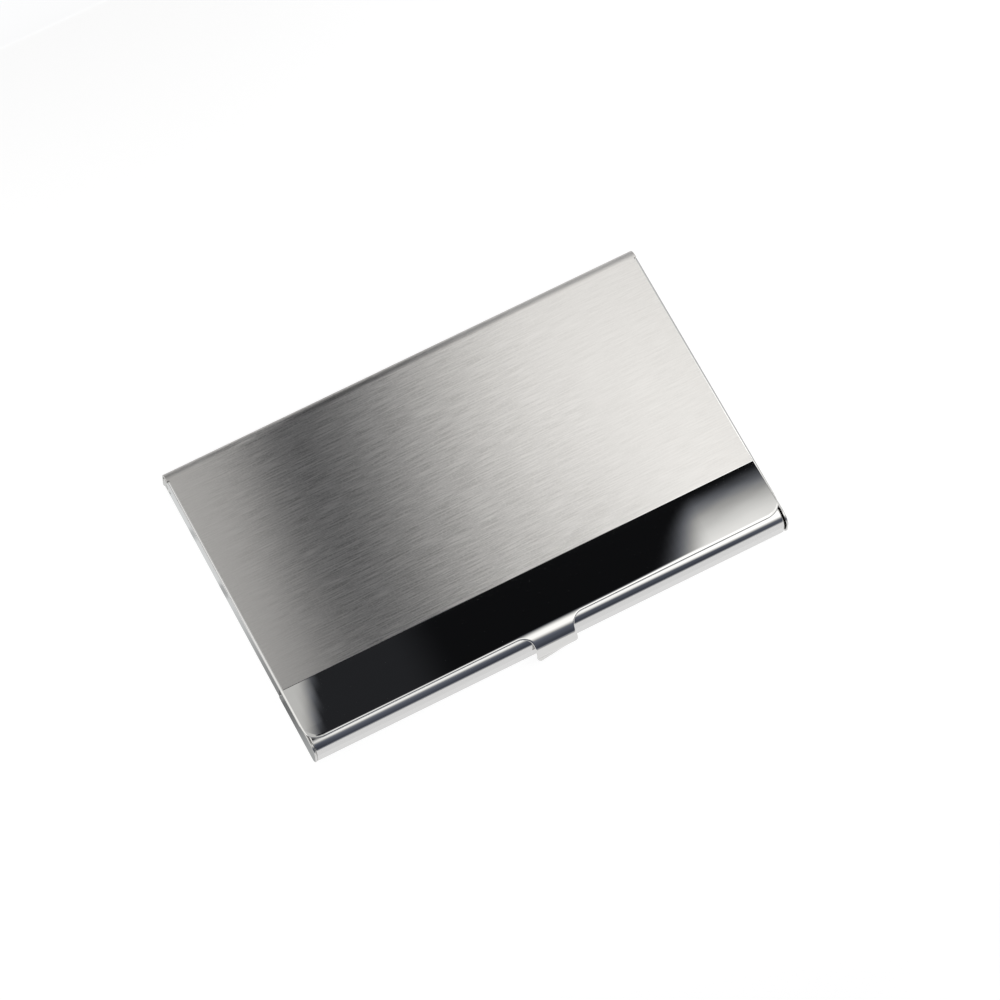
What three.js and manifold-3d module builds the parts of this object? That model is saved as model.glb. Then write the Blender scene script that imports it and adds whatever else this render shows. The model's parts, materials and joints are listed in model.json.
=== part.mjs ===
// Stamped steel business card case, millimetres, +Z up.
// X runs along the case, the clasp is on the -Y side and the hinge on the +Y side.
// The origin is at the middle of the bounding box, on the underside.
import * as THREE from "three";
import { mergeVertices } from "three/addons/utils/BufferGeometryUtils.js";
import Module from "manifold-3d";

const wasm = await Module();
wasm.setup();

// ---- driving dimensions ----
const CASE_LENGTH = 93;
const CASE_HEIGHT = 7;
const SHEET = 0.4;
const GAP = 0.3;                // between sheets that lie side by side

const LID_DEPTH = 56.35;
const LID_CORNER_RADIUS = 3;
const SPINE_BEND_RADIUS = 1.5;
const SPINE_BOTTOM = 0.9;
const FLANGE_LENGTH = 45.2;
const FLANGE_BOTTOM = 2.5;
const FLANGE_CORNER_RADIUS = 2;

const ROLL_TOP = 6.4;
const ROLL_TOP_RADIUS = 2.6;
const ROLL_BOTTOM_RADIUS = 1.9;
const ROLL_AHEAD_OF_LID = 2.05;
const ROLL_LIP = 2;
const ROLL_END_GAP = 0.3;
const WALL_TOP = 6.25;

const TAB_CENTRE_X = 0.3;
const TAB_WIDTH = 8.2;
const TAB_FILLET = 2.1;
const TAB_BEND_RADIUS = 3.55;
const TAB_WAIST_Z = 2.2;
const TAB_WAIST_INSET = 0.3;
const TAB_BOTTOM = 1.4;

const HINGE_FROM_REAR = 2.6;
const HINGE_Z = 4.3;
const PIN_RADIUS = 0.65;
const PIN_HEAD_RADIUS = 1.3;
const PIN_HEAD_THICKNESS = 0.4;
const PIN_SINK = 0.05;
const EYE_RADIUS = 1.95;        // round end of each sheet about the hinge pin

const LIFTER_FRONT = -23.3;
const LIFTER_CORNER_RADIUS = 4;
const LIFTER_NOTCH_RADIUS = 4;
const LIFTER_EYE_RADIUS = 1.7;
const LIFTER_ARM_HALF_HEIGHT = 0.9;
const LIFTER_WEB_REAR = 5.2;    // from the hinge axis
const LIFTER_WEB_FRONT = 8.5;

const ARC_STEPS = 8;            // per arc, doubled by THREE.Shape
const MERGE_DISTANCE = 1e-4;

// ---- places worked out from them ----
const CASE_DEPTH = LID_DEPTH + TAB_BEND_RADIUS;
const END_X = CASE_LENGTH / 2;
const REAR_Y = CASE_DEPTH / 2;
const LID_FRONT_Y = REAR_Y - LID_DEPTH;
const ROLL_FRONT_Y = LID_FRONT_Y - ROLL_AHEAD_OF_LID;
const ROLL_Y = ROLL_FRONT_Y + ROLL_TOP_RADIUS;
const JOGGLE_Y = REAR_Y - FLANGE_LENGTH - GAP;
const HINGE_Y = REAR_Y - HINGE_FROM_REAR;
const INNER_WALL_X = END_X - SHEET - GAP;
const LIFTER_X = INNER_WALL_X - SHEET - GAP;
const PIN_HOLE_RADIUS = PIN_RADIUS + GAP;
const SPINE_SWEEP = Math.hypot(HINGE_FROM_REAR, HINGE_Z - SPINE_BOTTOM) + GAP;
const SPINE_STOP_ANGLE = THREE.MathUtils.degToRad(-163);
const FLOOR_REAR_Y = HINGE_Y - Math.sqrt(SPINE_SWEEP ** 2 - (HINGE_Z - SHEET) ** 2);

// ---- materials ----
function steel(name, color, roughness) {
  const material = new THREE.MeshStandardMaterial({ color, roughness, metalness: 1 });
  material.name = name;
  return material;
}

const brushedSteel = steel("brushed_steel", 0x9b9894, 0.34);
const polishedSteel = steel("polished_steel", 0xc4c3c1, 0.12);
const springSteel = steel("spring_steel", 0xaaa9a6, 0.26);
const pinSteel = steel("pin_steel", 0xb4b3b0, 0.2);

// ---- solids ----
function toSolid(geometry) {
  const bare = geometry.clone();
  bare.deleteAttribute("normal");
  bare.deleteAttribute("uv");
  const merged = mergeVertices(bare, MERGE_DISTANCE);
  const mesh = new wasm.Mesh({
    numProp: 3,
    vertProperties: new Float32Array(merged.attributes.position.array),
    triVerts: new Uint32Array(merged.index.array),
  });
  return new wasm.Manifold(mesh);
}

function toMesh(name, solid, material) {
  const raw = solid.getMesh();
  const geometry = new THREE.BufferGeometry();
  geometry.setAttribute("position", new THREE.BufferAttribute(new Float32Array(raw.vertProperties), 3));
  geometry.setIndex(new THREE.BufferAttribute(new Uint32Array(raw.triVerts), 1));
  geometry.computeVertexNormals();
  const mesh = new THREE.Mesh(geometry, material);
  mesh.name = name;
  return mesh;
}

// The outline's points, without those that fall on the one before.
function extrude(shape, depth) {
  const points = [];
  for (const point of shape.getPoints(ARC_STEPS)) {
    const near = (other) => other !== undefined && point.distanceTo(other) < MERGE_DISTANCE;
    if (!near(points.at(-1)) && !near(points[0])) {
      points.push(point);
    }
  }
  return new THREE.ExtrudeGeometry(new THREE.Shape(points), { depth, bevelEnabled: false });
}

// A shape drawn in (y, z), pushed along X from x0 to x1.
function sideSlab(shape, x0, x1) {
  const geometry = extrude(shape, x1 - x0);
  const toWorld = new THREE.Matrix4().makeBasis(
    new THREE.Vector3(0, 1, 0),
    new THREE.Vector3(0, 0, 1),
    new THREE.Vector3(1, 0, 0),
  );
  geometry.applyMatrix4(toWorld);
  geometry.translate(x0, 0, 0);
  return toSolid(geometry);
}

// A shape drawn in (x, y), pushed along Z from z0 to z1.
function planSlab(shape, z0, z1) {
  const geometry = extrude(shape, z1 - z0);
  geometry.translate(0, 0, z0);
  return toSolid(geometry);
}

function box(x0, x1, y0, y1, z0, z1) {
  const geometry = new THREE.BoxGeometry(x1 - x0, y1 - y0, z1 - z0);
  geometry.translate((x0 + x1) / 2, (y0 + y1) / 2, (z0 + z1) / 2);
  return toSolid(geometry);
}

// A round bar along X through the hinge axis.
function hingeBar(radius, x0, x1) {
  const geometry = new THREE.CylinderGeometry(radius, radius, x1 - x0, 24);
  geometry.rotateZ(Math.PI / 2);
  geometry.translate((x0 + x1) / 2, HINGE_Y, HINGE_Z);
  return toSolid(geometry);
}

function mirrored(solid) {
  return solid.mirror([1, 0, 0]);
}

// ---- lid: top face, rear spine and clasp tab bent from one strip, with two side flanges ----
function lidStripProfile() {
  const rear = REAR_Y;
  const top = CASE_HEIGHT;
  const bend = SPINE_BEND_RADIUS;
  const innerBend = bend - SHEET;
  const tabInner = TAB_BEND_RADIUS - SHEET;
  const tabFront = LID_FRONT_Y - TAB_BEND_RADIUS;
  const tabBendZ = top - TAB_BEND_RADIUS;
  const shape = new THREE.Shape();
  shape.moveTo(rear, SPINE_BOTTOM);
  shape.lineTo(rear, top - bend);
  shape.absarc(rear - bend, top - bend, bend, 0, Math.PI / 2, false);
  shape.lineTo(LID_FRONT_Y, top);
  shape.absarc(LID_FRONT_Y, tabBendZ, TAB_BEND_RADIUS, Math.PI / 2, Math.PI, false);
  shape.lineTo(tabFront + TAB_WAIST_INSET, TAB_WAIST_Z);
  shape.lineTo(tabFront, TAB_BOTTOM);
  shape.lineTo(tabFront + SHEET, TAB_BOTTOM);
  shape.lineTo(tabFront + TAB_WAIST_INSET + SHEET, TAB_WAIST_Z);
  shape.lineTo(tabFront + SHEET, tabBendZ);
  shape.absarc(LID_FRONT_Y, tabBendZ, tabInner, Math.PI, Math.PI / 2, true);
  shape.lineTo(rear - bend, top - SHEET);
  shape.absarc(rear - bend, top - bend, innerBend, Math.PI / 2, 0, true);
  shape.lineTo(rear - SHEET, SPINE_BOTTOM);
  shape.closePath();
  return shape;
}

function lidPlan() {
  const corner = LID_CORNER_RADIUS;
  const left = TAB_CENTRE_X - TAB_WIDTH / 2;
  const right = TAB_CENTRE_X + TAB_WIDTH / 2;
  const tongue = -CASE_DEPTH / 2 - 1;
  const shape = new THREE.Shape();
  shape.moveTo(END_X, REAR_Y + 1);
  shape.lineTo(-END_X, REAR_Y + 1);
  shape.lineTo(-END_X, LID_FRONT_Y + corner);
  shape.absarc(-END_X + corner, LID_FRONT_Y + corner, corner, Math.PI, 1.5 * Math.PI, false);
  shape.lineTo(left - TAB_FILLET, LID_FRONT_Y);
  shape.absarc(left - TAB_FILLET, LID_FRONT_Y - TAB_FILLET, TAB_FILLET, Math.PI / 2, 0, true);
  shape.lineTo(left, tongue);
  shape.lineTo(right, tongue);
  shape.lineTo(right, LID_FRONT_Y - TAB_FILLET);
  shape.absarc(right + TAB_FILLET, LID_FRONT_Y - TAB_FILLET, TAB_FILLET, Math.PI, Math.PI / 2, true);
  shape.lineTo(END_X - corner, LID_FRONT_Y);
  shape.absarc(END_X - corner, LID_FRONT_Y + corner, corner, 1.5 * Math.PI, 2 * Math.PI, false);
  shape.closePath();
  return shape;
}

function flangeProfile() {
  const bend = SPINE_BEND_RADIUS;
  const corner = FLANGE_CORNER_RADIUS;
  const front = REAR_Y - FLANGE_LENGTH;
  const shape = new THREE.Shape();
  shape.moveTo(REAR_Y, FLANGE_BOTTOM);
  shape.lineTo(REAR_Y, CASE_HEIGHT - bend);
  shape.absarc(REAR_Y - bend, CASE_HEIGHT - bend, bend, 0, Math.PI / 2, false);
  shape.lineTo(front, CASE_HEIGHT);
  shape.lineTo(front, FLANGE_BOTTOM + corner);
  shape.absarc(front + corner, FLANGE_BOTTOM + corner, corner, Math.PI, 1.5 * Math.PI, false);
  shape.closePath();
  return shape;
}

function makeLid() {
  const strip = sideSlab(lidStripProfile(), -END_X, END_X);
  const sheet = strip.intersect(planSlab(lidPlan(), -1, CASE_HEIGHT + 1));
  const hole = hingeBar(PIN_HOLE_RADIUS, END_X - 1, END_X + 1);
  const flange = sideSlab(flangeProfile(), END_X - SHEET, END_X).subtract(hole);
  return toMesh("lid_shell", sheet.add(flange).add(mirrored(flange)), brushedSteel);
}

// ---- base: floor that curls up into the front roll, and two side walls ----
function rollProfile() {
  const top = ROLL_TOP;
  const upperZ = top - ROLL_TOP_RADIUS;
  const lower = ROLL_BOTTOM_RADIUS;
  const lowerY = ROLL_FRONT_Y + lower;
  const shape = new THREE.Shape();
  shape.moveTo(FLOOR_REAR_Y, 0);
  shape.lineTo(FLOOR_REAR_Y, SHEET);
  shape.lineTo(lowerY, SHEET);
  shape.absarc(lowerY, lower, lower - SHEET, 1.5 * Math.PI, Math.PI, true);
  shape.lineTo(ROLL_FRONT_Y + SHEET, upperZ);
  shape.absarc(ROLL_Y, upperZ, ROLL_TOP_RADIUS - SHEET, Math.PI, Math.PI / 2, true);
  shape.lineTo(ROLL_Y + ROLL_LIP, top - SHEET);
  shape.lineTo(ROLL_Y + ROLL_LIP, top);
  shape.lineTo(ROLL_Y, top);
  shape.absarc(ROLL_Y, upperZ, ROLL_TOP_RADIUS, Math.PI / 2, Math.PI, false);
  shape.lineTo(ROLL_FRONT_Y, lower);
  shape.absarc(lowerY, lower, lower, Math.PI, 1.5 * Math.PI, false);
  shape.closePath();
  return shape;
}

function frontWallProfile() {
  const ear = WALL_TOP / 2;
  const earY = ROLL_FRONT_Y + ear;
  const shape = new THREE.Shape();
  shape.moveTo(JOGGLE_Y, 0);
  shape.lineTo(JOGGLE_Y, WALL_TOP);
  shape.lineTo(earY, WALL_TOP);
  shape.absarc(earY, ear, ear, Math.PI / 2, 1.5 * Math.PI, false);
  shape.closePath();
  return shape;
}

// The rear wall is cut back along the path of the spine's lower edge.
function rearWallProfile() {
  const joggleFront = JOGGLE_Y - SHEET;
  const floorAngle = -Math.PI + Math.asin(HINGE_Z / (SPINE_SWEEP + SHEET));
  const shape = new THREE.Shape();
  shape.moveTo(joggleFront, 0);
  shape.lineTo(HINGE_Y + (SPINE_SWEEP + SHEET) * Math.cos(floorAngle), 0);
  shape.absarc(HINGE_Y, HINGE_Z, SPINE_SWEEP + SHEET, floorAngle, SPINE_STOP_ANGLE, true);
  shape.absarc(HINGE_Y, HINGE_Z, EYE_RADIUS, SPINE_STOP_ANGLE, Math.PI / 2, false);
  shape.lineTo(joggleFront, WALL_TOP);
  shape.closePath();
  return shape;
}

function makeBase() {
  const rollEnd = END_X - SHEET - ROLL_END_GAP;
  const tray = sideSlab(rollProfile(), -INNER_WALL_X, INNER_WALL_X)
    .subtract(box(rollEnd, END_X, -CASE_DEPTH, ROLL_Y, -1, CASE_HEIGHT))
    .subtract(box(-END_X, -rollEnd, -CASE_DEPTH, ROLL_Y, -1, CASE_HEIGHT));
  const hole = hingeBar(PIN_HOLE_RADIUS, INNER_WALL_X - 1, INNER_WALL_X + 1);
  const rearWall = sideSlab(rearWallProfile(), INNER_WALL_X - SHEET, INNER_WALL_X).subtract(hole);
  const frontWall = sideSlab(frontWallProfile(), END_X - SHEET, END_X);
  const joggle = box(INNER_WALL_X - SHEET, END_X, JOGGLE_Y - SHEET, JOGGLE_Y, 0, WALL_TOP);
  const floorEdge = box(INNER_WALL_X - SHEET, END_X, ROLL_Y, JOGGLE_Y, 0, SHEET);
  const wall = rearWall.add(frontWall).add(joggle).add(floorEdge);
  return toMesh("base_shell", tray.add(wall).add(mirrored(wall)), polishedSteel);
}

// ---- card lifter: a plate on the floor with two arms that turn on the hinge pins ----
function lifterPlan() {
  const corner = LIFTER_CORNER_RADIUS;
  const rear = HINGE_Y - LIFTER_WEB_REAR;
  const shape = new THREE.Shape();
  shape.moveTo(LIFTER_X, rear);
  shape.lineTo(-LIFTER_X, rear);
  shape.lineTo(-LIFTER_X, LIFTER_FRONT + corner);
  shape.absarc(-LIFTER_X + corner, LIFTER_FRONT + corner, corner, Math.PI, 1.5 * Math.PI, false);
  shape.lineTo(-LIFTER_NOTCH_RADIUS, LIFTER_FRONT);
  shape.absarc(0, LIFTER_FRONT, LIFTER_NOTCH_RADIUS, Math.PI, 0, true);
  shape.lineTo(LIFTER_X - corner, LIFTER_FRONT);
  shape.absarc(LIFTER_X - corner, LIFTER_FRONT + corner, corner, 1.5 * Math.PI, 2 * Math.PI, false);
  shape.closePath();
  return shape;
}

function lifterArmProfile() {
  const half = LIFTER_ARM_HALF_HEIGHT;
  const plateBottom = SHEET + GAP;
  const meet = Math.asin(half / LIFTER_EYE_RADIUS);
  const shape = new THREE.Shape();
  shape.moveTo(HINGE_Y - LIFTER_WEB_FRONT, plateBottom);
  shape.lineTo(HINGE_Y - LIFTER_WEB_REAR, plateBottom);
  shape.lineTo(HINGE_Y - LIFTER_WEB_REAR, HINGE_Z - half);
  shape.absarc(HINGE_Y, HINGE_Z, LIFTER_EYE_RADIUS, Math.PI + meet, 3 * Math.PI - meet, false);
  shape.lineTo(HINGE_Y - LIFTER_WEB_REAR, HINGE_Z + half);
  shape.closePath();
  return shape;
}

function makeLifter() {
  const plateBottom = SHEET + GAP;
  const plate = planSlab(lifterPlan(), plateBottom, plateBottom + SHEET);
  const hole = hingeBar(PIN_HOLE_RADIUS, LIFTER_X - 1, LIFTER_X + 1);
  const arm = sideSlab(lifterArmProfile(), LIFTER_X - SHEET, LIFTER_X).subtract(hole);
  return toMesh("card_lifter", plate.add(arm).add(mirrored(arm)), springSteel);
}

// ---- hinge pins: flush outside, headed inside ----
function makePin(name, side) {
  const outer = END_X - PIN_SINK;
  const inner = LIFTER_X - SHEET - GAP;
  const shank = hingeBar(PIN_RADIUS, inner - PIN_HEAD_THICKNESS / 2, outer);
  const head = hingeBar(PIN_HEAD_RADIUS, inner - PIN_HEAD_THICKNESS, inner);
  const pin = shank.add(head);
  return toMesh(name, side > 0 ? pin : mirrored(pin), pinSteel);
}

const cardCase = new THREE.Group();
cardCase.name = "business_card_case";
cardCase.add(makeBase());
cardCase.add(makeLid());
cardCase.add(makeLifter());
cardCase.add(makePin("hinge_pin_left", -1));
cardCase.add(makePin("hinge_pin_right", 1));

export default cardCase;
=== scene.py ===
# Looks of a stamped steel business card case: thin sheets with exact bends, brushed and
# mirror-polished steel, and a small studio. Lengths are in millimetres, apart from names in _M.
import json
import math
import bmesh
import bpy
from mathutils import Matrix, Vector
from mathutils.geometry import tessellate_polygon


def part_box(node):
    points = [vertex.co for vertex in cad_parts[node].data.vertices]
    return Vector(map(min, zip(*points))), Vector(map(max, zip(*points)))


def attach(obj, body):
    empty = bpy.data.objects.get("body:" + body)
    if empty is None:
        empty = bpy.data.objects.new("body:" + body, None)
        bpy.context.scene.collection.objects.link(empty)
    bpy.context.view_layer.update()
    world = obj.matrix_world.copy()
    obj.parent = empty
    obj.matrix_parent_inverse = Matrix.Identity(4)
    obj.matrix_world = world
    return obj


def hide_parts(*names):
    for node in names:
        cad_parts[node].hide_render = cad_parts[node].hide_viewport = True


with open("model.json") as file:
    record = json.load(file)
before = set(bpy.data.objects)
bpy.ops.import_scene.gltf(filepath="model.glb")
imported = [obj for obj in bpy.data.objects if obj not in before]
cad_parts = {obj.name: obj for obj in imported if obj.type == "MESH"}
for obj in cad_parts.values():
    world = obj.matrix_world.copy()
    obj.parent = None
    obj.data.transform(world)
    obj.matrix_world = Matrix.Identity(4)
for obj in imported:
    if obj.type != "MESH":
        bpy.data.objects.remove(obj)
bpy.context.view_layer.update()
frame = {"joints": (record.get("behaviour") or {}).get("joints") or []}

MM = 0.001

# ---- places read from the frame, in millimetres ----
lid_low, lid_high = (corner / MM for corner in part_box("lid_shell"))
base_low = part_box("base_shell")[0] / MM
lifter_low, lifter_high = (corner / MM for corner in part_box("card_lifter"))
pin_low, pin_high = (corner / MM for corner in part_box("hinge_pin_right"))
hinge_point = Vector(frame["joints"][0]["pos_m"]) / MM

# ---- sheet sizes that the frame's boxes don't hold ----
SHEET_MM = 0.4
EDGE_DEPTH_MM = 0.19
EDGE_WIDTH_MM = 0.42
SIDE_EDGE_WIDTH_MM = 0.1
CORNER_EDGE_EXTRA_MM = 0.2
CORNER_EDGE_START_MM = 8
CORNER_EDGE_FULL_MM = 3
PLAIN_EDGE_WIDTH_MM = 0.16
LOWER_EDGE_SHARE = 0.25
OUTER_SKIN_MM = 0.02
ROUND_OFF_MM = 1e-4
GAP_MM = 0.3
SMALL_CORNER_MM = 0.4
PATTERN_MM = 100.0

LID_DEPTH_MM = 56.65
LID_CORNER_MM = 3.7
SPINE_BEND_MM = 2.1
SIDE_BEND_MM = 0.47
FLANGE_LENGTH_MM = 45.2
FLANGE_BOTTOM_MM = 2.5
FLANGE_CORNER_MM = 0.55
FLANGE_MARGIN_MM = 0.1
SPINE_CORNER_MM = 0.5
SPINE_CLEARANCE_MM = 0.08
RELIEF_MM = 0.15
RELIEF_RUN_MM = 0.35
MIRROR_STRIP_MM = 10.8
STRIP_STEP_MM = 0.025
STRIP_SHOULDER_MM = 0.07
STRIP_LINE_MM = 0.02

TAB_CENTRE_MM = 0.2
TAB_WIDTH_MM = 7.95
TAB_FILLET_MM = 2.3
TAB_BEND_MM = 3.95
TAB_BEND_BACK_MM = 0.75
TAB_STRAIGHT_MM = 0.05
TAB_TUCK_MM = 0.25
TAB_TUCK_DEG = 14.0
TAB_FLARE_MM = 0.55
TAB_FLARE_DEG = -54.0
TAB_SKEW_MM = 0.3
TAB_CORNER_MM = 0.7

ROLL_TOP_MM = 6.54
ROLL_UPPER_MM = 2.6
ROLL_LOWER_MM = 1.9
ROLL_LIP_MM = 2.0
ROLL_CORNER_MM = 0.3
ROLL_RELIEF_START = 0.25
ROLL_RELIEF_END = 0.8
LEFT_END_GAP_MM = 0.04
RIGHT_END_GAP_MM = 0.36
CLOSED_END_GAP_MM = 0.02
EAR_RADIUS_MM = 2.2
EAR_PROUD_MM = 0.07
WALL_TOP_MM = 6.25
WALL_BEND_MM = 0.42
LEFT_STEP_MM = 0.5
RIGHT_STEP_MM = 0.7
JOGGLE_REAR_MM = 0.17
JOGGLE_RUN_MM = 0.5
JOGGLE_LEAN_MM = 0.9
JOGGLE_LEAN_LOW_MM = 1.6
JOGGLE_LEAN_HIGH_MM = 2.5
FLOOR_STRETCH_MM = 1.2
FLOOR_CLEARANCE_MM = 0.02

EYE_MM = 1.95
PIN_HOLE_MM = 0.95
PIN_MM = 0.85
PIN_HEAD_ROUND_MM = 0.25
PIN_HEAD_BREAK_MM = 0.08
PIN_END_ROUND_MM = 0.12
SPINE_STOP_DEG = 163.0

LIFTER_BEND_MM = 0.5
LIFTER_CORNER_MM = 4.0
LIFTER_NOTCH_MM = 4.0
LIFTER_EYE_MM = 1.7
LIFTER_ARM_HALF_MM = 0.9
LIFTER_WEB_REAR_MM = 5.2
LIFTER_WEB_FRONT_MM = 8.5
LIFTER_WEB_CORNER_MM = 1.0
LIFTER_SHOULDER_MM = 0.05

# ---- places worked out from them ----
END_X = lid_high.x
REAR_Y = lid_high.y
TOP_Z = lid_high.z
LID_FRONT_Y = REAR_Y - LID_DEPTH_MM
MIRROR_LINE_Y = LID_FRONT_Y + MIRROR_STRIP_MM
SPINE_BOTTOM = lid_low.z
SPINE_SIDE_U = END_X + 0.01
ROLL_FRONT_Y = base_low.y
ROLL_Y = ROLL_FRONT_Y + ROLL_LOWER_MM
JOGGLE_Y = REAR_Y - FLANGE_LENGTH_MM + JOGGLE_REAR_MM
HINGE_Y = hinge_point.y
HINGE_Z = hinge_point.z
SPINE_SWEEP = math.hypot(REAR_Y - HINGE_Y, HINGE_Z - SPINE_BOTTOM) + GAP_MM
FLOOR_REAR_Y = HINGE_Y - math.sqrt(SPINE_SWEEP**2 - (HINGE_Z - SHEET_MM) ** 2)


# ---- outlines ----
def smooth(value, start, end):
    share = min(1.0, max(0.0, (value - start) / (end - start)))
    return share * share * (3 - 2 * share)


def arc(centre_u, centre_v, radius, start_deg, end_deg, steps=12):
    points = []
    for i in range(steps + 1):
        angle = math.radians(start_deg + (end_deg - start_deg) * i / steps)
        points.append((centre_u + radius * math.cos(angle), centre_v + radius * math.sin(angle)))
    return points


def tidy_outline(points, closest=0.004):
    kept = []
    for point in points:
        if not kept or math.dist(point, kept[-1]) > closest:
            kept.append(point)
    if math.dist(kept[0], kept[-1]) <= closest:
        kept.pop()
    return kept


def area(points):
    total = 0.0
    for (u0, v0), (u1, v1) in zip(points, points[1:] + points[:1]):
        total += u0 * v1 - u1 * v0
    return total / 2


def wound(points, anticlockwise):
    points = tidy_outline(points)
    return points if (area(points) > 0) == anticlockwise else points[::-1]


def mirrored(points):
    return [(-u, v) for u, v in points]


def spread(start, end, count):
    return [start + (end - start) * i / count for i in range(count + 1)]


def spreads(start, *parts):
    """Stops from the start to the end of each part in turn, each part being (end, count)."""
    stops = [start]
    for end, count in parts:
        stops += spread(stops[-1], end, count)[1:]
    return stops


def quarter(radius):
    """The length of a quarter bend."""
    return radius * math.pi / 2


def hinge_holes(u):
    """A round hole of 24 points on the hinge axis at each side of a pattern."""
    hole = arc(u, HINGE_Y, PIN_HOLE_MM, 0, 345, 23)
    return [hole, mirrored(hole)]


# ---- a flat plate with rounded edges, cut along its fold lines and then folded ----
def edge_normals(points):
    """The outward direction at each point of a loop, long enough to keep a corner square."""
    normals = []
    count = len(points)
    for i in range(count):
        before = Vector(points[i]) - Vector(points[i - 1])
        after = Vector(points[(i + 1) % count]) - Vector(points[i])
        a = Vector((before.y, -before.x)).normalized()
        b = Vector((after.y, -after.x)).normalized()
        middle = (a + b).normalized() if (a + b).length > 1e-6 else a
        normals.append(middle / max(0.5, middle.dot(a)))
    return normals


def rim_steps(steps=5):
    """(share of the edge's width, depth) down the rounded edge of a plate, from skin to skin.
    The rounding at the inner skin is narrower than the one at the outer skin."""
    turns = spread(0, math.pi / 2, steps)
    upper = [(math.sin(turn), EDGE_DEPTH_MM * (1 - math.cos(turn))) for turn in turns]
    lower = [(1 - LOWER_EDGE_SHARE * (1 - out), SHEET_MM - depth) for out, depth in reversed(upper)]
    return upper + lower


def flat_plate(outline, holes, edge_width):
    """A closed plate in pattern space: u, v, and depth below the outer skin."""
    mesh = bmesh.new()
    loops = [wound(outline, True)] + [wound(hole, False) for hole in holes]
    skins = {0: [], 1: []}
    for loop in loops:
        normals = edge_normals(loop)
        rings = []
        for out, depth in rim_steps():
            ring = []
            for point, normal in zip(loop, normals):
                place = Vector(point) + normal * (out - 1) * edge_width(*point)
                ring.append(mesh.verts.new((place.x, place.y, depth)))
            rings.append(ring)
        skins[0].append(rings[0])
        skins[1].append(rings[-1])
        for upper, lower in zip(rings, rings[1:]):
            for i in range(len(loop)):
                j = (i + 1) % len(loop)
                mesh.faces.new((upper[i], lower[i], lower[j], upper[j]))
    for side, rings in skins.items():
        flat = [vert for ring in rings for vert in ring]
        for triangle in tessellate_polygon([[vert.co for vert in ring] for ring in rings]):
            corners = [flat[k] for k in triangle]
            mesh.faces.new(corners if side == 0 else corners[::-1])
    bmesh.ops.recalc_face_normals(mesh, faces=mesh.faces)
    return mesh


def cut_lines(mesh, us, vs):
    """Cut the plate right through along lines of equal u and lines of equal v."""
    for axis, values in ((0, us), (1, vs)):
        for value in values:
            place = Vector((0, 0, 0))
            place[axis] = value
            normal = Vector((0, 0, 0))
            normal[axis] = 1
            everything = mesh.verts[:] + mesh.edges[:] + mesh.faces[:]
            bmesh.ops.bisect_plane(mesh, geom=everything, dist=1e-5, plane_co=place, plane_no=normal)


def fold_normal(fold, u, v, side):
    """The bent sheet's outward normal on one skin: side 0 is the outer skin and 1 the inner one."""
    step = 1e-3
    along_u = Vector(fold(u + step, v, 0)) - Vector(fold(u - step, v, 0))
    along_v = Vector(fold(u, v + step, 0)) - Vector(fold(u, v - step, 0))
    depth = Vector(fold(u, v, SHEET_MM)) - Vector(fold(u, v, 0))
    normal = along_u.cross(along_v).normalized()
    if normal.dot(depth) > 0:
        normal = -normal
    return normal if side == 0 else -normal


def bend_path(start, heading_deg, inside, pieces):
    """The outer skin of a bent strip in section, and the material's depth below it.
    It starts at a point with a heading. Each piece is (length, turn), a turn being towards the inner
    side, which is the right-hand side of the heading if inside is 1 and the left-hand side if -1."""
    def inward(heading):
        return Vector((math.sin(heading), -math.cos(heading))) * inside

    def place(run, depth):
        point = Vector(start)
        heading = math.radians(heading_deg)
        for number, (length, turn_deg) in enumerate(pieces):
            part = run if number == len(pieces) - 1 else min(run, length)
            if turn_deg == 0:
                point += Vector((math.cos(heading), math.sin(heading))) * part
            else:
                towards = math.copysign(1.0, turn_deg)
                radius = length / abs(math.radians(turn_deg))
                centre = point + inward(heading) * radius * towards
                heading -= inside * towards * part / radius
                point = centre - inward(heading) * radius * towards
            run -= part
            if run <= 0:
                break
        return point + inward(heading) * depth

    return place


def plain_edge(u, v):
    return PLAIN_EDGE_WIDTH_MM


def lay_pattern(mesh, pick_material):
    """Give each face of the flat plate its material and its place in the brushing's pattern."""
    uv_layer = mesh.loops.layers.uv.new("brush")
    for face in mesh.faces:
        face.smooth = True
        face.material_index = pick_material(*face.calc_center_median())
        for loop in face.loops:
            u, v = loop.vert.co.xy
            loop[uv_layer].uv = (v / PATTERN_MM + 0.5, u / PATTERN_MM + 0.5)


def skin_normals(mesh, pattern, fold):
    """The bend's exact normal on both skins, and the mesh's own on the rounded edges."""
    normals = []
    for vert, (u, v, depth) in zip(mesh.verts, pattern):
        if depth < ROUND_OFF_MM:
            normals.append(fold_normal(fold, u, v, 0))
        elif depth > SHEET_MM - ROUND_OFF_MM:
            normals.append(fold_normal(fold, u, v, 1))
        else:
            normals.append(vert.normal.copy())
    return normals


def new_piece(name, mesh, materials):
    data = bpy.data.meshes.new(name)
    mesh.to_mesh(data)
    mesh.free()
    for material in materials:
        data.materials.append(material)
    piece = bpy.data.objects.new(name, data)
    bpy.context.scene.collection.objects.link(piece)
    return piece


def folded_sheet(name, outline, holes, fold, us, vs, materials, pick_material, edge_width=plain_edge):
    """A sheet of steel: its outline in the flat, the lines that it is bent along, and the bend."""
    mesh = flat_plate(outline, holes, edge_width)
    cut_lines(mesh, us, vs)
    lay_pattern(mesh, pick_material)
    pattern = [vert.co.copy() for vert in mesh.verts]
    for vert, place in zip(mesh.verts, pattern):
        vert.co = Vector(fold(*place)) * MM
    mesh.normal_update()
    bmesh.ops.recalc_face_normals(mesh, faces=mesh.faces)
    mesh.normal_update()
    normals = skin_normals(mesh, pattern, fold)
    piece = new_piece(name, mesh, materials)
    piece.data.normals_split_custom_set_from_vertices(normals)
    return piece


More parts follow.
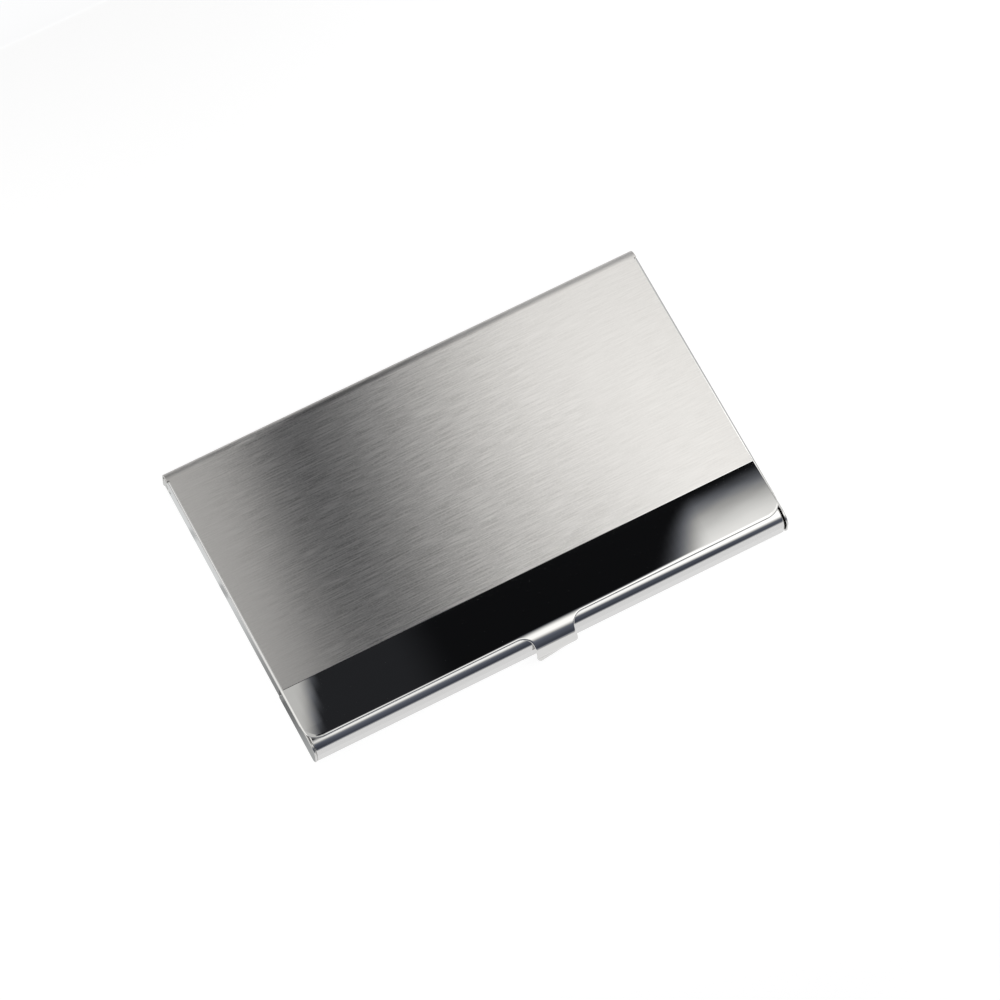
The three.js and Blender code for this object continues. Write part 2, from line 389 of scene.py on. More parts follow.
# ---- lid ----
SIDE_FOLD_U = END_X - SIDE_BEND_MM
FLANGE_U = SIDE_FOLD_U + quarter(SIDE_BEND_MM)
SPINE_FOLD_V = REAR_Y - SPINE_BEND_MM
SPINE_V = SPINE_FOLD_V + quarter(SPINE_BEND_MM)
TAB_PIECES = (
    (quarter(TAB_BEND_MM), 90),
    (TAB_STRAIGHT_MM, 0),
    (TAB_TUCK_MM, TAB_TUCK_DEG),
    (TAB_FLARE_MM, TAB_FLARE_DEG),
)
TAB_FOLD_V = LID_FRONT_Y + TAB_BEND_BACK_MM
TAB_END_V = TAB_FOLD_V - sum(length for length, turn in TAB_PIECES)

tab_path = bend_path((TAB_FOLD_V, TOP_Z), 180, -1, TAB_PIECES)
spine_path = bend_path((SPINE_FOLD_V, TOP_Z), 0, 1, ((quarter(SPINE_BEND_MM), 90), (1, 0)))
flange_path = bend_path((SIDE_FOLD_U, TOP_Z), 0, 1, ((quarter(SIDE_BEND_MM), 90), (1, 0)))


def flange_u(z):
    """The flat pattern's u at height z on a side flange."""
    return FLANGE_U + TOP_Z - SIDE_BEND_MM - z


def fold_lid(u, v, depth):
    """The lid bends at the tab, the spine and both sides, and its front strip is sunk a little."""
    across = abs(u)
    if v < TAB_FOLD_V:
        y, z = tab_path(TAB_FOLD_V - v, depth)
        return u, y, z - STRIP_STEP_MM
    if v > SPINE_FOLD_V and across <= SPINE_SIDE_U:
        return u, *spine_path(v - SPINE_FOLD_V, depth)
    sink = STRIP_STEP_MM * min(1.0, max(0.0, (MIRROR_LINE_Y - v) / STRIP_SHOULDER_MM))
    if across <= SIDE_FOLD_U:
        return u, v, TOP_Z - depth - sink
    x, z = flange_path(across - SIDE_FOLD_U, depth)
    return math.copysign(x, u), v, z - sink


def lid_outline():
    """Half of the lid's flat pattern at +u, from the middle of the spine round to the tab."""
    flange_front = REAR_Y - FLANGE_LENGTH_MM
    low = flange_u(FLANGE_BOTTOM_MM)
    inner_rear = REAR_Y - SHEET_MM - SPINE_CLEARANCE_MM
    relief_v = SPINE_FOLD_V - RELIEF_MM
    relief_u = FLANGE_U + RELIEF_RUN_MM
    spine_end = SPINE_V + TOP_Z - SPINE_BEND_MM - SPINE_BOTTOM
    corner = FLANGE_CORNER_MM
    points = [(0.0, spine_end)]
    points += arc(END_X - SPINE_CORNER_MM, spine_end - SPINE_CORNER_MM, SPINE_CORNER_MM, 90, 0, 6)
    points += [(END_X, SPINE_FOLD_V), (SIDE_FOLD_U, SPINE_FOLD_V)]
    points += [(SIDE_FOLD_U, relief_v), (relief_u, relief_v)]
    rounding = inner_rear - relief_v
    points += arc(relief_u + rounding, inner_rear - rounding, rounding, 180, 90, 8)
    points += arc(low - SMALL_CORNER_MM, inner_rear - SMALL_CORNER_MM, SMALL_CORNER_MM, 90, 0, 6)
    points += arc(low - corner, flange_front + corner, corner, 0, -90, 12)
    edge = FLANGE_U + FLANGE_MARGIN_MM
    points += arc(edge + SMALL_CORNER_MM, flange_front - SMALL_CORNER_MM, SMALL_CORNER_MM, 90, 180, 6)
    points += arc(edge - LID_CORNER_MM, LID_FRONT_Y + LID_CORNER_MM, LID_CORNER_MM, 0, -90, 24)
    return points


def tab_outline(side):
    """One side of the tab, from the lid's front edge to the free end."""
    edge = TAB_WIDTH_MM / 2
    points = arc(edge + TAB_FILLET_MM, LID_FRONT_Y - TAB_FILLET_MM, TAB_FILLET_MM, 90, 180, 12)
    corner_v = TAB_END_V + TAB_CORNER_MM + side * TAB_SKEW_MM
    points += arc(edge - TAB_CORNER_MM, corner_v, TAB_CORNER_MM, 0, -90, 8)
    return [(TAB_CENTRE_MM + side * u, v) for u, v in points]


def lid_edge(u, v):
    """The edge is rounded over widely at the front and on the tab, most of all at the two front
    corners, and hardly at all elsewhere."""
    if v > LID_FRONT_Y + LID_CORNER_MM - ROUND_OFF_MM:
        return SIDE_EDGE_WIDTH_MM
    extra = smooth(abs(u), END_X - CORNER_EDGE_START_MM, END_X - CORNER_EDGE_FULL_MM)
    return EDGE_WIDTH_MM + CORNER_EDGE_EXTRA_MM * extra


def make_lid(materials):
    half = lid_outline()
    outline = half + tab_outline(1) + tab_outline(-1)[::-1] + mirrored(half)[::-1]
    us = spread(SIDE_FOLD_U, FLANGE_U, 6) + [SPINE_SIDE_U]
    us += [-u for u in us]
    tab_bent_v = TAB_FOLD_V - quarter(TAB_BEND_MM)
    shoulder_v = MIRROR_LINE_Y - STRIP_SHOULDER_MM
    vs = spread(SPINE_FOLD_V, SPINE_V, 12)
    vs += spread(TAB_FOLD_V, tab_bent_v, 24)
    vs += spread(tab_bent_v - TAB_STRAIGHT_MM, TAB_END_V, 16)[:-1]
    vs += [MIRROR_LINE_Y + STRIP_LINE_MM, MIRROR_LINE_Y, shoulder_v, shoulder_v - STRIP_LINE_MM]
    brushed, mirror, inside, side = range(4)

    def pick(u, v, depth):
        if depth > SHEET_MM - EDGE_DEPTH_MM:
            return inside
        if v < MIRROR_LINE_Y:
            return mirror
        if abs(u) > SIDE_FOLD_U and v < SPINE_FOLD_V:
            return side
        return brushed

    holes = hinge_holes(flange_u(HINGE_Z))
    return folded_sheet("lid_sheet", outline, holes, fold_lid, us, vs, materials, pick, lid_edge)


# ---- base ----
WALL_X = END_X - SHEET_MM - GAP_MM
WALL_FOLD_U = WALL_X - WALL_BEND_MM
WALL_U = WALL_FOLD_U + quarter(WALL_BEND_MM)
STRETCH_U = WALL_FOLD_U - FLOOR_STRETCH_MM
ROLL_PIECES = (
    (quarter(ROLL_LOWER_MM), 90),
    (ROLL_TOP_MM - ROLL_LOWER_MM - ROLL_UPPER_MM, 0),
    (quarter(ROLL_UPPER_MM), 90),
    (ROLL_LIP_MM, 0),
)
ROLL_LENGTH = sum(length for length, turn in ROLL_PIECES)


def joggle(u, v, z):
    """How far the side wall steps out: inside the lid's flange behind, further out in front.
    The step leans, so that it starts further back low down, under the flange."""
    step = RIGHT_STEP_MM if u > 0 else LEFT_STEP_MM
    lean = JOGGLE_LEAN_MM * (1 - smooth(z, JOGGLE_LEAN_LOW_MM, JOGGLE_LEAN_HIGH_MM))
    return step * smooth(JOGGLE_Y + lean - v, 0, JOGGLE_RUN_MM)


def wall_u(z):
    """The flat pattern's u at height z on a side wall."""
    if z < WALL_BEND_MM:
        return WALL_FOLD_U + WALL_BEND_MM * math.acos(1 - z / WALL_BEND_MM)
    return WALL_U + z - WALL_BEND_MM


def roll_end_u(gap, step):
    """The flat pattern's u where the roll stops, a gap inside the wall's inner skin."""
    end = STRETCH_U + (WALL_X + step - SHEET_MM - gap - STRETCH_U) / (1 + step / FLOOR_STRETCH_MM)
    return min(end, WALL_FOLD_U)


roll_path = bend_path((ROLL_Y, 0), 180, 1, ROLL_PIECES)
wall_path = bend_path((WALL_FOLD_U, 0), 0, -1, ((quarter(WALL_BEND_MM), 90), (1, 0)))


def fold_base(u, v, depth):
    """The floor and roll stretch sideways near the wall, to follow its step."""
    across = abs(u)
    if across > WALL_FOLD_U + ROUND_OFF_MM:
        x, z = wall_path(across - WALL_FOLD_U, depth)
        return math.copysign(x + joggle(u, v, z), u), v, z
    step = joggle(u, v, 0)
    x = math.copysign(across + step * max(0.0, across - STRETCH_U) / FLOOR_STRETCH_MM, u)
    if v < ROLL_Y:
        return x, *roll_path(ROLL_Y - v, depth)
    return x, v, depth


def base_outline(end_gap, step):
    """Half of the base's flat pattern at +u, from the middle of the floor's rear edge round the side
    wall to the end of the roll. The wall's rear leaves room for the turning spine."""
    sweep = SPINE_SWEEP + SHEET_MM
    floor_deg = -180 + math.degrees(math.asin((HINGE_Z - FLOOR_CLEARANCE_MM) / sweep))
    path = arc(HINGE_Y, HINGE_Z, sweep, floor_deg, -SPINE_STOP_DEG, 16)
    path += arc(HINGE_Y, HINGE_Z, EYE_MM, -SPINE_STOP_DEG, 90, 40)
    ear_front = ROLL_FRONT_Y - EAR_PROUD_MM
    ear_low = ROLL_LOWER_MM + EAR_PROUD_MM
    path += arc(ear_front + EAR_RADIUS_MM, WALL_TOP_MM - EAR_RADIUS_MM, EAR_RADIUS_MM, 90, 180, 20)
    path += arc(ear_front + ear_low, ear_low, ear_low, 180, 262, 20)
    points = [(0.0, FLOOR_REAR_Y)]
    points += [(wall_u(max(0.0, z)), y) for y, z in path]
    closed = roll_end_u(CLOSED_END_GAP_MM, step)
    end = roll_end_u(end_gap, step)
    lip = ROLL_Y - ROLL_LENGTH
    points += [(closed, ROLL_Y - ROLL_RELIEF_START * ROLL_PIECES[0][0])]
    points += [(end, ROLL_Y - ROLL_RELIEF_END * ROLL_PIECES[0][0])]
    points += [(end, lip + ROLL_CORNER_MM), (end - ROLL_CORNER_MM, lip)]
    return points


def make_base(materials):
    outline = base_outline(RIGHT_END_GAP_MM, RIGHT_STEP_MM)
    outline += mirrored(base_outline(LEFT_END_GAP_MM, LEFT_STEP_MM))[::-1]
    us = [STRETCH_U] + spread(WALL_FOLD_U, WALL_U, 6)
    us += spread(wall_u(JOGGLE_LEAN_LOW_MM), wall_u(JOGGLE_LEAN_HIGH_MM), 8)
    us += [-u for u in us]
    lip_v = ROLL_Y - ROLL_LENGTH + ROLL_LIP_MM
    vs = spread(ROLL_Y, ROLL_Y - ROLL_PIECES[0][0], 18)
    vs += spread(lip_v + ROLL_PIECES[2][0], lip_v, 24)
    vs += spread(JOGGLE_Y + JOGGLE_LEAN_MM, JOGGLE_Y - JOGGLE_RUN_MM, 20)
    outside, inside = range(2)

    def pick(u, v, depth):
        return outside if depth <= OUTER_SKIN_MM else inside

    holes = hinge_holes(wall_u(HINGE_Z))
    return folded_sheet("base_sheet", outline, holes, fold_base, us, vs, materials, pick)


# ---- card lifter ----
LIFTER_X = lifter_high.x
LIFTER_Z = lifter_low.z
LIFTER_FOLD_U = LIFTER_X - LIFTER_BEND_MM
LIFTER_U = LIFTER_FOLD_U + quarter(LIFTER_BEND_MM)


def lifter_u(z):
    """The flat pattern's u at height z on an arm's web."""
    return LIFTER_U + z - LIFTER_Z - LIFTER_BEND_MM


arm_path = bend_path((LIFTER_FOLD_U, LIFTER_Z), 0, -1, ((quarter(LIFTER_BEND_MM), 90), (1, 0)))


def fold_lifter(u, v, depth):
    if abs(u) <= LIFTER_FOLD_U:
        return u, v, LIFTER_Z + depth
    x, z = arm_path(abs(u) - LIFTER_FOLD_U, depth)
    return math.copysign(x, u), v, z


def make_lifter(materials):
    front = lifter_low.y
    web_rear = HINGE_Y - LIFTER_WEB_REAR_MM
    web_front = HINGE_Y - LIFTER_WEB_FRONT_MM
    half_arm = LIFTER_ARM_HALF_MM
    corner = LIFTER_WEB_CORNER_MM
    meet = math.degrees(math.asin(half_arm / LIFTER_EYE_MM))
    edge = LIFTER_FOLD_U - LIFTER_SHOULDER_MM
    half = [(0.0, web_rear), (edge, web_rear)]
    side_path = [(web_rear, LIFTER_Z + LIFTER_BEND_MM), (web_rear, HINGE_Z - half_arm)]
    side_path += arc(HINGE_Y, HINGE_Z, LIFTER_EYE_MM, meet - 180, 180 - meet, 30)
    side_path += [(web_front + corner, HINGE_Z + half_arm)]
    side_path += arc(web_front + corner, HINGE_Z + half_arm - corner, corner, 90, 180, 8)
    side_path += [(web_front, LIFTER_Z + LIFTER_BEND_MM)]
    half += [(lifter_u(z), y) for y, z in side_path]
    half += [(edge, web_front)]
    half += arc(edge - LIFTER_CORNER_MM, front + LIFTER_CORNER_MM, LIFTER_CORNER_MM, 0, -90, 16)
    half += arc(0, front, LIFTER_NOTCH_MM, 0, 90, 14)
    outline = half + mirrored(half)[::-1]
    us = spread(LIFTER_FOLD_U, LIFTER_U, 6)
    us += [-u for u in us]

    def pick(u, v, depth):
        return 0

    holes = hinge_holes(lifter_u(HINGE_Z))
    return folded_sheet("lifter_plate", outline, holes, fold_lifter, us, [], materials, pick)


# ---- hinge pins ----
def pin_profile():
    """(distance along X, radius) from the middle of the inner head to the middle of the outer end."""
    inner, outer = pin_low.x, pin_high.x
    head = (pin_high.z - pin_low.z) / 2
    head_end = inner + SHEET_MM
    rounded = PIN_HEAD_ROUND_MM
    profile = [(inner, 0.0)]
    profile += arc(inner + rounded, head - rounded, rounded, 180, 90, 5)
    profile += [(head_end - PIN_HEAD_BREAK_MM, head), (head_end, head - PIN_HEAD_BREAK_MM)]
    profile += [(head_end, PIN_MM)]
    profile += arc(outer - PIN_END_ROUND_MM, PIN_MM - PIN_END_ROUND_MM, PIN_END_ROUND_MM, 90, 0, 5)
    profile += [(outer, 0.0)]
    return profile


def make_pin(name, side, material):
    """A headed rivet along X, turned about the hinge axis."""
    mesh = bmesh.new()
    around = 40
    rings = []
    for x, radius in pin_profile():
        if radius == 0.0:
            rings.append([mesh.verts.new((side * x, HINGE_Y, HINGE_Z))])
            continue
        ring = []
        for i in range(around):
            angle = 2 * math.pi * i / around
            y = HINGE_Y + radius * math.cos(angle)
            ring.append(mesh.verts.new((side * x, y, HINGE_Z + radius * math.sin(angle))))
        rings.append(ring)
    for first, second in zip(rings, rings[1:]):
        for i in range(around):
            j = (i + 1) % around
            corners = [first[i % len(first)], first[j % len(first)]]
            corners += [second[j % len(second)], second[i % len(second)]]
            mesh.faces.new(list(dict.fromkeys(corners)))
    bmesh.ops.scale(mesh, vec=(MM, MM, MM), verts=mesh.verts)
    bmesh.ops.recalc_face_normals(mesh, faces=mesh.faces)
    for face in mesh.faces:
        face.smooth = True
    for edge in mesh.edges:
        if edge.calc_face_angle(0) > math.radians(50):
            edge.smooth = False
    return new_piece(name, mesh, [material])


# ---- materials ----
MIRROR_COLOUR = (0.66, 0.655, 0.645)
POLISH_COLOUR = (0.615, 0.61, 0.605)
SATIN_COLOUR = (0.6, 0.595, 0.585)
COARSE_GROOVE = (0.37, 0.36, 0.35)
COARSE_RIDGE = (0.85, 0.83, 0.81)
EVEN_GROOVE = (0.59, 0.575, 0.56)
EVEN_RIDGE = (0.67, 0.655, 0.64)


def new_material(name):
    material = bpy.data.materials.new(name)
    material.use_nodes = True
    nodes = material.node_tree.nodes
    return material, nodes, material.node_tree.links, nodes["Principled BSDF"]


def object_space(nodes):
    return nodes.new("ShaderNodeTexCoord").outputs["Object"]


def pattern_space(nodes):
    """The sheet's flat pattern: X runs across the brushing and Y along it, 100 mm to a unit."""
    pattern = nodes.new("ShaderNodeUVMap")
    pattern.uv_map = "brush"
    return pattern.outputs["UV"]


def stretched_noise(nodes, links, space, scale, detail=3.0, roughness=0.55):
    """Noise stretched by a different scale on each axis of its space."""
    mapping = nodes.new("ShaderNodeMapping")
    mapping.inputs["Scale"].default_value = scale
    noise = nodes.new("ShaderNodeTexNoise")
    noise.inputs["Scale"].default_value = 1.0
    noise.inputs["Detail"].default_value = detail
    noise.inputs["Roughness"].default_value = roughness
    links.new(space, mapping.inputs["Vector"])
    links.new(mapping.outputs["Vector"], noise.inputs["Vector"])
    return noise.outputs["Fac"]


def ranged(nodes, links, value, low, high, from_low=0.3, from_high=0.7):
    """A value between two limits, here those of most noise, taken to between low and high."""
    node = nodes.new("ShaderNodeMapRange")
    node.inputs["From Min"].default_value = from_low
    node.inputs["From Max"].default_value = from_high
    node.inputs["To Min"].default_value = low
    node.inputs["To Max"].default_value = high
    links.new(value, node.inputs["Value"])
    return node.outputs["Result"]


def evenness(nodes, links):
    """How even the brushing looks: 0 where it is coarsest, left of the middle, and 1 at both ends."""
    axes = nodes.new("ShaderNodeSeparateXYZ")
    links.new(object_space(nodes), axes.inputs["Vector"])
    left = ranged(nodes, links, axes.outputs["X"], 1.0, 0.0, -42 * MM, -28 * MM)
    right = ranged(nodes, links, axes.outputs["X"], 0.0, 1.0, -24 * MM, 28 * MM)
    total = nodes.new("ShaderNodeMath")
    links.new(left, total.inputs[0])
    links.new(right, total.inputs[1])
    return total.outputs["Value"]


def bump(nodes, links, height, distance, strength):
    node = nodes.new("ShaderNodeBump")
    node.inputs["Strength"].default_value = strength
    node.inputs["Distance"].default_value = distance
    links.new(height, node.inputs["Height"])
    return node.outputs["Normal"]


def tinted(nodes, links, value, dark, light):
    """A mix of two colours, each an RGB triple or another node's output."""
    node = nodes.new("ShaderNodeMix")
    node.data_type = "RGBA"
    for socket, colour in (("A", dark), ("B", light)):
        if isinstance(colour, tuple):
            node.inputs[socket].default_value = (*colour, 1)
        else:
            links.new(colour, node.inputs[socket])
    links.new(value, node.inputs["Factor"])
    return node.outputs["Result"]


def brush_tangent(nodes):
    tangent = nodes.new("ShaderNodeTangent")
    tangent.direction_type = "UV_MAP"
    tangent.uv_map = "brush"
    return tangent.outputs["Tangent"]


def brushed_steel():
    """Fine streaks along the length. The tones of grooves and ridges come together where it is even."""
    material, nodes, links, shader = new_material("brushed_steel_look")
    pattern = pattern_space(nodes)
    streak = stretched_noise(nodes, links, pattern, (400, 17, 1), 3.0, 0.65)
    fleck = stretched_noise(nodes, links, pattern, (450, 220, 1), 1.0)
    even = evenness(nodes, links)
    shader.inputs["Metallic"].default_value = 1.0
    shader.inputs["Anisotropic"].default_value = 1.0
    groove = tinted(nodes, links, even, COARSE_GROOVE, EVEN_GROOVE)
    ridge = tinted(nodes, links, even, COARSE_RIDGE, EVEN_RIDGE)
    streaked = ranged(nodes, links, streak, 0.0, 1.0)
    specks = ranged(nodes, links, fleck, 0.0, 0.5, 0.5, 0.7)
    tone = tinted(nodes, links, streaked, groove, ridge)
    flecked = tinted(nodes, links, specks, tone, ridge)
    links.new(flecked, shader.inputs["Base Color"])
    links.new(ranged(nodes, links, streak, 0.28, 0.295), shader.inputs["Roughness"])
    links.new(bump(nodes, links, streak, 0.005 * MM, 0.8), shader.inputs["Normal"])
    links.new(brush_tangent(nodes), shader.inputs["Tangent"])
    return material


def polished_steel(name, roughness_low, roughness_high, colour):
    """Smooth steel with a faint lengthwise haze and a hardly visible wave."""
    material, nodes, links, shader = new_material(name)
    space = object_space(nodes)
    haze = stretched_noise(nodes, links, space, (60, 900, 400), 3.0)
    cloud = stretched_noise(nodes, links, space, (60, 150, 150), 2.0)
    shader.inputs["Metallic"].default_value = 1.0
    darker = tuple(0.97 * c for c in colour)
    links.new(tinted(nodes, links, haze, darker, colour), shader.inputs["Base Color"])
    links.new(ranged(nodes, links, haze, roughness_low, roughness_high), shader.inputs["Roughness"])
    links.new(bump(nodes, links, cloud, 0.02 * MM, 0.3), shader.inputs["Normal"])
    return material


# ---- build the pieces ----
brushed = brushed_steel()
mirror = polished_steel("mirror_steel_look", 0.012, 0.025, MIRROR_COLOUR)
outer_polish = polished_steel("polished_steel_look", 0.06, 0.1, POLISH_COLOUR)
satin = polished_steel("satin_steel_look", 0.22, 0.3, SATIN_COLOUR)
pin_steel = polished_steel("pin_steel_look", 0.12, 0.2, MIRROR_COLOUR)

lid = make_lid([brushed, mirror, satin, outer_polish])
base = make_base([outer_polish, satin])
lifter = make_lifter([satin])
left_pin = make_pin("left_pin", -1, pin_steel)
right_pin = make_pin("right_pin", 1, pin_steel)

for piece, body, node, slot in (
    (lid, "lid", "lid_shell", "brushed_steel"),
    (base, "base", "base_shell", "polished_steel"),
    (lifter, "lifter", "card_lifter", "spring_steel"),
    (left_pin, "base", "hinge_pin_left", "pin_steel"),
    (right_pin, "base", "hinge_pin_right", "pin_steel"),
):
    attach(piece, body)
    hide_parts(node)


# ---- studio ----
# The camera looks down along a long lens from over the case's front left corner.
SENSOR_MM = 36
LENS_MM = 204.76
NEAR_M = 0.01
FAR_M = 20
AZIMUTH_DEG = -29.06
ELEVATION_DEG = 68.34
ROLL_DEG = 1.40
CAMERA_MM = Vector((-174.23, REAR_Y - 351.73, 927.96))
CAMERA_REACH_MM = math.hypot(CAMERA_MM.y, CAMERA_MM.z - TOP_Z)

# The tent is half a tube along X round the case. Angles go up from the front horizon and over to
# the rear; "along" is the place on the lid whose mirror image falls on that part of the tent.
TENT_MM = 120.0
TENT_STRETCH = 1 + TENT_MM / CAMERA_REACH_MM
TENT_SHIFT_MM = -CAMERA_MM.x * TENT_MM / CAMERA_REACH_MM
TENT_LEFT_MM = -370.0
TENT_RIGHT_MM = 400.0

SHADE_LIFT_MM = 0.02
SHADE_WIDTH_MM = 6
SHADE_TUCK_MM = 0.3
FLOOR_M = 6


def window(value, start, end, soft):
    """1 between start and end, 0 outside them, with soft borders."""
    half = soft / 2
    return smooth(value, start - half, start + half) * (1 - smooth(value, end - half, end + half))


def tent_turn(angle):
    """The true angle round the tube; the flat lid's mirror image is spread over more of it."""
    flat_start = 99.2
    return 0.5 + 0.95 * angle + 0.477 * max(0.0, angle - flat_start)


def right_share(along):
    """0 over the lid's left and middle, 1 towards its right end."""
    return smooth(along, 11, 33)


def front_light(along, angle):
    """The light over the front and the top, mirrored by the roll, the tab and the strip's right end.
    It begins softly at the angle low and ends at the angle top, further over towards the right."""
    right = right_share(along)
    low = 42 - 5 * smooth(along, -15, 10) - 12 * smooth(along, 12, 42)
    ramp = 19 + 8 * smooth(along, 20, 42)
    top = 72 + 11 * smooth(along, -30, 0) + 17.9 * right
    soft = 14 - 12.1 * right
    light = 0.07 + 0.06 * smooth(along, 25, 44)
    light += 0.05 * smooth(angle, 12, 30) + 0.12 * smooth(angle, 30, 46)
    light += 0.5 * (1 - smooth(angle, 0, 10))
    light += (1.25 + 0.3 * smooth(along, -10, 40)) * smooth(angle, low, low + ramp)
    light *= 1 - smooth(angle, top - soft, top + soft)
    light *= 1 - 0.35 * right * smooth(angle, 84, 97)
    left_dim = 0.35 * (1 - smooth(along, -49, -44))
    right_dim = 0.07 * smooth(along, 40, 46) + 0.15 * smooth(along, 46, 56)
    return light * (1 - left_dim - right_dim)


def rear_light(along, angle):
    """The light over the rear, mirrored by the brushed face: dark at the left, bright at the right."""
    right = right_share(along)
    light = 0.03 + 1.12 * smooth(along - 0.5 * (angle - 117), -27, 28)
    light *= smooth(angle, 103.0, 104.5)
    light *= 1 + (1.9 - 0.9 * right) * (1 - smooth(angle, 103, 117))
    light *= 1 - (0.65 + 0.17 * right) * smooth(angle, 126, 148)
    return light


def left_light(along, angle):
    """The light beyond a slanting edge at the left, mirrored by the lid's left end."""
    edge = -43.8 + min(0.85 * (angle - 101), 2.4 + 0.42 * (angle - 103))
    light = 0.7 * (1 - smooth(along, edge - 2, edge + 2))
    light *= window(angle, 60, 140, 20)
    light *= 1.8 - 0.8 * smooth(along, -150, -90)
    return light


def tent_light(along, angle):
    """The brightest of the lights over the dark room between them, cooler where it is dim."""
    room = 0.007 + 0.018 * (1 - smooth(along, -27, -17))
    glow = room + max(front_light(along, angle), rear_light(along, angle), left_light(along, angle))
    glow *= 1 - 0.45 * smooth(along, 95, 150)
    cool = (1 - smooth(glow, 0.1, 0.5)) * (1 - 0.5 * smooth(angle, 45, 60))
    return glow * (1.0 - 0.16 * cool), glow * (1.0 - 0.07 * cool), glow * (0.985 + 0.2 * cool)


def glow_material(name, colour=None):
    """An even light of one colour, or one that reads the mesh's own light at each corner."""
    material = bpy.data.materials.new(name)
    material.use_nodes = True
    nodes = material.node_tree.nodes
    nodes.clear()
    output = nodes.new("ShaderNodeOutputMaterial")
    glow = nodes.new("ShaderNodeEmission")
    if colour is None:
        light = nodes.new("ShaderNodeVertexColor")
        light.layer_name = "light"
        material.node_tree.links.new(light.outputs["Color"], glow.inputs["Color"])
    else:
        glow.inputs["Color"].default_value = (*colour, 1)
    material.node_tree.links.new(glow.outputs["Emission"], output.inputs["Surface"])
    material.cycles.emission_sampling = "NONE"
    return material


def make_light_grid(name, columns, rows, place, light):
    """A sheet of light: place(column, row) gives its points in mm, light(column, row) its colour."""
    mesh = bmesh.new()
    tint = mesh.loops.layers.float_color.new("light")
    grid = [[mesh.verts.new(Vector(place(column, row)) * MM) for column in columns] for row in rows]
    for j in range(len(rows) - 1):
        for i in range(len(columns) - 1):
            corners = ((j, i), (j, i + 1), (j + 1, i + 1), (j + 1, i))
            face = mesh.faces.new([grid[row][column] for row, column in corners])
            for loop, (row, column) in zip(face.loops, corners):
                loop[tint] = (*light(columns[column], rows[row]), 1)
    sheet = new_piece(name, mesh, [glow_material(name + "_glow")])
    sheet.visible_camera = False
    sheet.visible_shadow = False
    return sheet


def rectangle(name, size_x, size_y, place, rotation=(0, 0, 0)):
    """A flat card of the studio, its sizes and place in metres."""
    data = bpy.data.meshes.new(name)
    x, y = size_x / 2, size_y / 2
    data.from_pydata([(-x, -y, 0), (x, -y, 0), (x, y, 0), (-x, y, 0)], [], [(0, 1, 2, 3)])
    card = bpy.data.objects.new(name, data)
    card.location = place
    card.rotation_euler = rotation
    bpy.context.scene.collection.objects.link(card)
    return card


def tent_x(along):
    """The tent's x whose mirror image the camera sees at that place on the lid."""
    return TENT_SHIFT_MM + TENT_STRETCH * along


def make_tent():
    """Its mesh is finest where the lights have sharp edges."""
    def place(along, angle):
        turn = math.radians(tent_turn(angle))
        return tent_x(along), -TENT_MM * math.cos(turn), TENT_MM * math.sin(turn)

    columns = spreads(TENT_LEFT_MM, (-70.0, 40), (80.0, 120), (TENT_RIGHT_MM, 40))
    rows = spreads(-0.5, (95.0, 96), (106.0, 66), (158.9, 60))
    make_light_grid("tent", columns, rows, place, tent_light)


def make_tent_end(name, along, colour):
    place = (tent_x(along) * MM, 0, 0)
    end = rectangle(name, 2 * TENT_MM * MM, 2 * TENT_MM * MM, place, (0, math.pi / 2, 0))
    end.data.materials.append(glow_material(name + "_glow", colour))
    end.visible_camera = False
    end.visible_shadow = False


def shade_light(x, y):
    """The strip of table along the left side with the case's shadow on it painted in, so it is dimmer
    towards the front. It also has two darker marks.
    """
    # painted shade: the glow falls off towards the front where the case shades the table
    glow = 0.8 - 0.5 * (1 - smooth(y, -13, 10))
    glow -= 0.22 * window(y, 18.5, 20.5, 1.5) + 0.3 * window(y, 6.2, 9, 1.5)
    if y < JOGGLE_Y:
        glow = 0.2 + 0.25 * (1 - smooth(y, -27, -17))
    return glow * 0.98, glow, glow


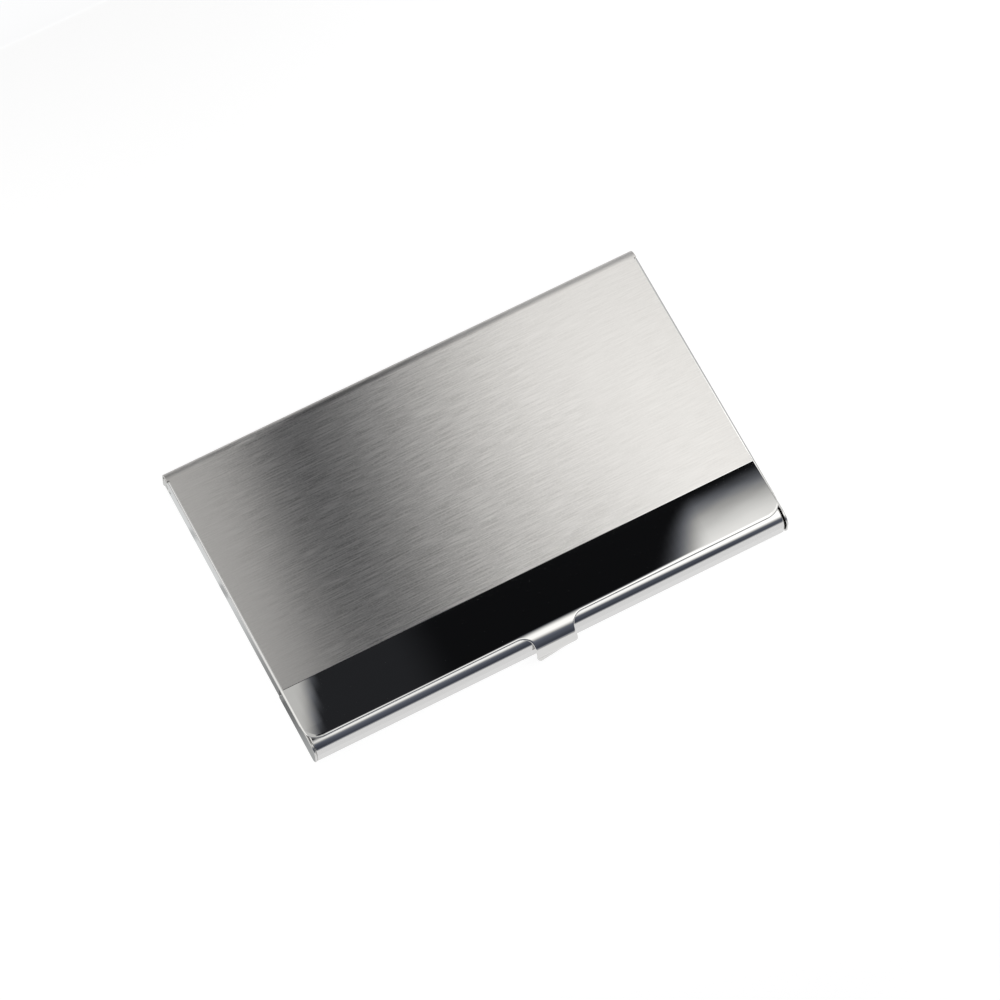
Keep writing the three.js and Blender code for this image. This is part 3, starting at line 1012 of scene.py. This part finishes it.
def make_shade():
    """Only the side of the case mirrors this strip: neither the camera nor the table sees it."""
    def place(x, y):
        return x, y, SHADE_LIFT_MM

    columns = [-END_X - SHADE_WIDTH_MM, -END_X + SHADE_TUCK_MM]
    rows = spread(ROLL_FRONT_Y, REAR_Y + 2, 90)
    shade = make_light_grid("shade", columns, rows, place, shade_light)
    shade.visible_diffuse = False


def make_floor():
    """A plain white table. Most of its light is its own, so that it stays even."""
    floor = rectangle("floor", FLOOR_M, FLOOR_M, (0, 0, 0))
    material, _, _, shader = new_material("floor_look")
    shader.inputs["Base Color"].default_value = (0.2, 0.2, 0.2, 1)
    shader.inputs["Roughness"].default_value = 0.9
    shader.inputs["Emission Color"].default_value = (1, 1, 1, 1)
    shader.inputs["Emission Strength"].default_value = 0.89
    floor.data.materials.append(material)


def make_camera():
    data = bpy.data.cameras.new("camera")
    data.sensor_width = SENSOR_MM
    data.lens = LENS_MM
    data.clip_start = NEAR_M
    data.clip_end = FAR_M
    camera = bpy.data.objects.new("camera", data)
    azimuth, elevation, roll = (math.radians(a) for a in (AZIMUTH_DEG, ELEVATION_DEG, ROLL_DEG))
    back = Vector((
        math.sin(azimuth) * math.cos(elevation),
        -math.cos(azimuth) * math.cos(elevation),
        math.sin(elevation),
    ))
    turn = (-back).to_track_quat("-Z", "Y").to_matrix().to_4x4()
    camera.matrix_world = Matrix.Translation(CAMERA_MM * MM) @ turn @ Matrix.Rotation(roll, 4, "Z")
    bpy.context.scene.collection.objects.link(camera)
    bpy.context.scene.camera = camera


def make_world():
    """The light on the table outside the tent."""
    world = bpy.data.worlds.new("studio")
    world.use_nodes = True
    background = world.node_tree.nodes["Background"]
    background.inputs["Color"].default_value = (0.5, 0.52, 0.55, 1)
    background.inputs["Strength"].default_value = 1.2
    bpy.context.scene.world = world


make_camera()
make_floor()
make_tent()
make_tent_end("left_end", TENT_LEFT_MM, (1.35, 1.33, 1.24))
make_tent_end("right_end", TENT_RIGHT_MM, (1.15, 1.1, 1.09))
make_shade()
make_world()
bpy.context.scene.view_settings.view_transform = "Standard"
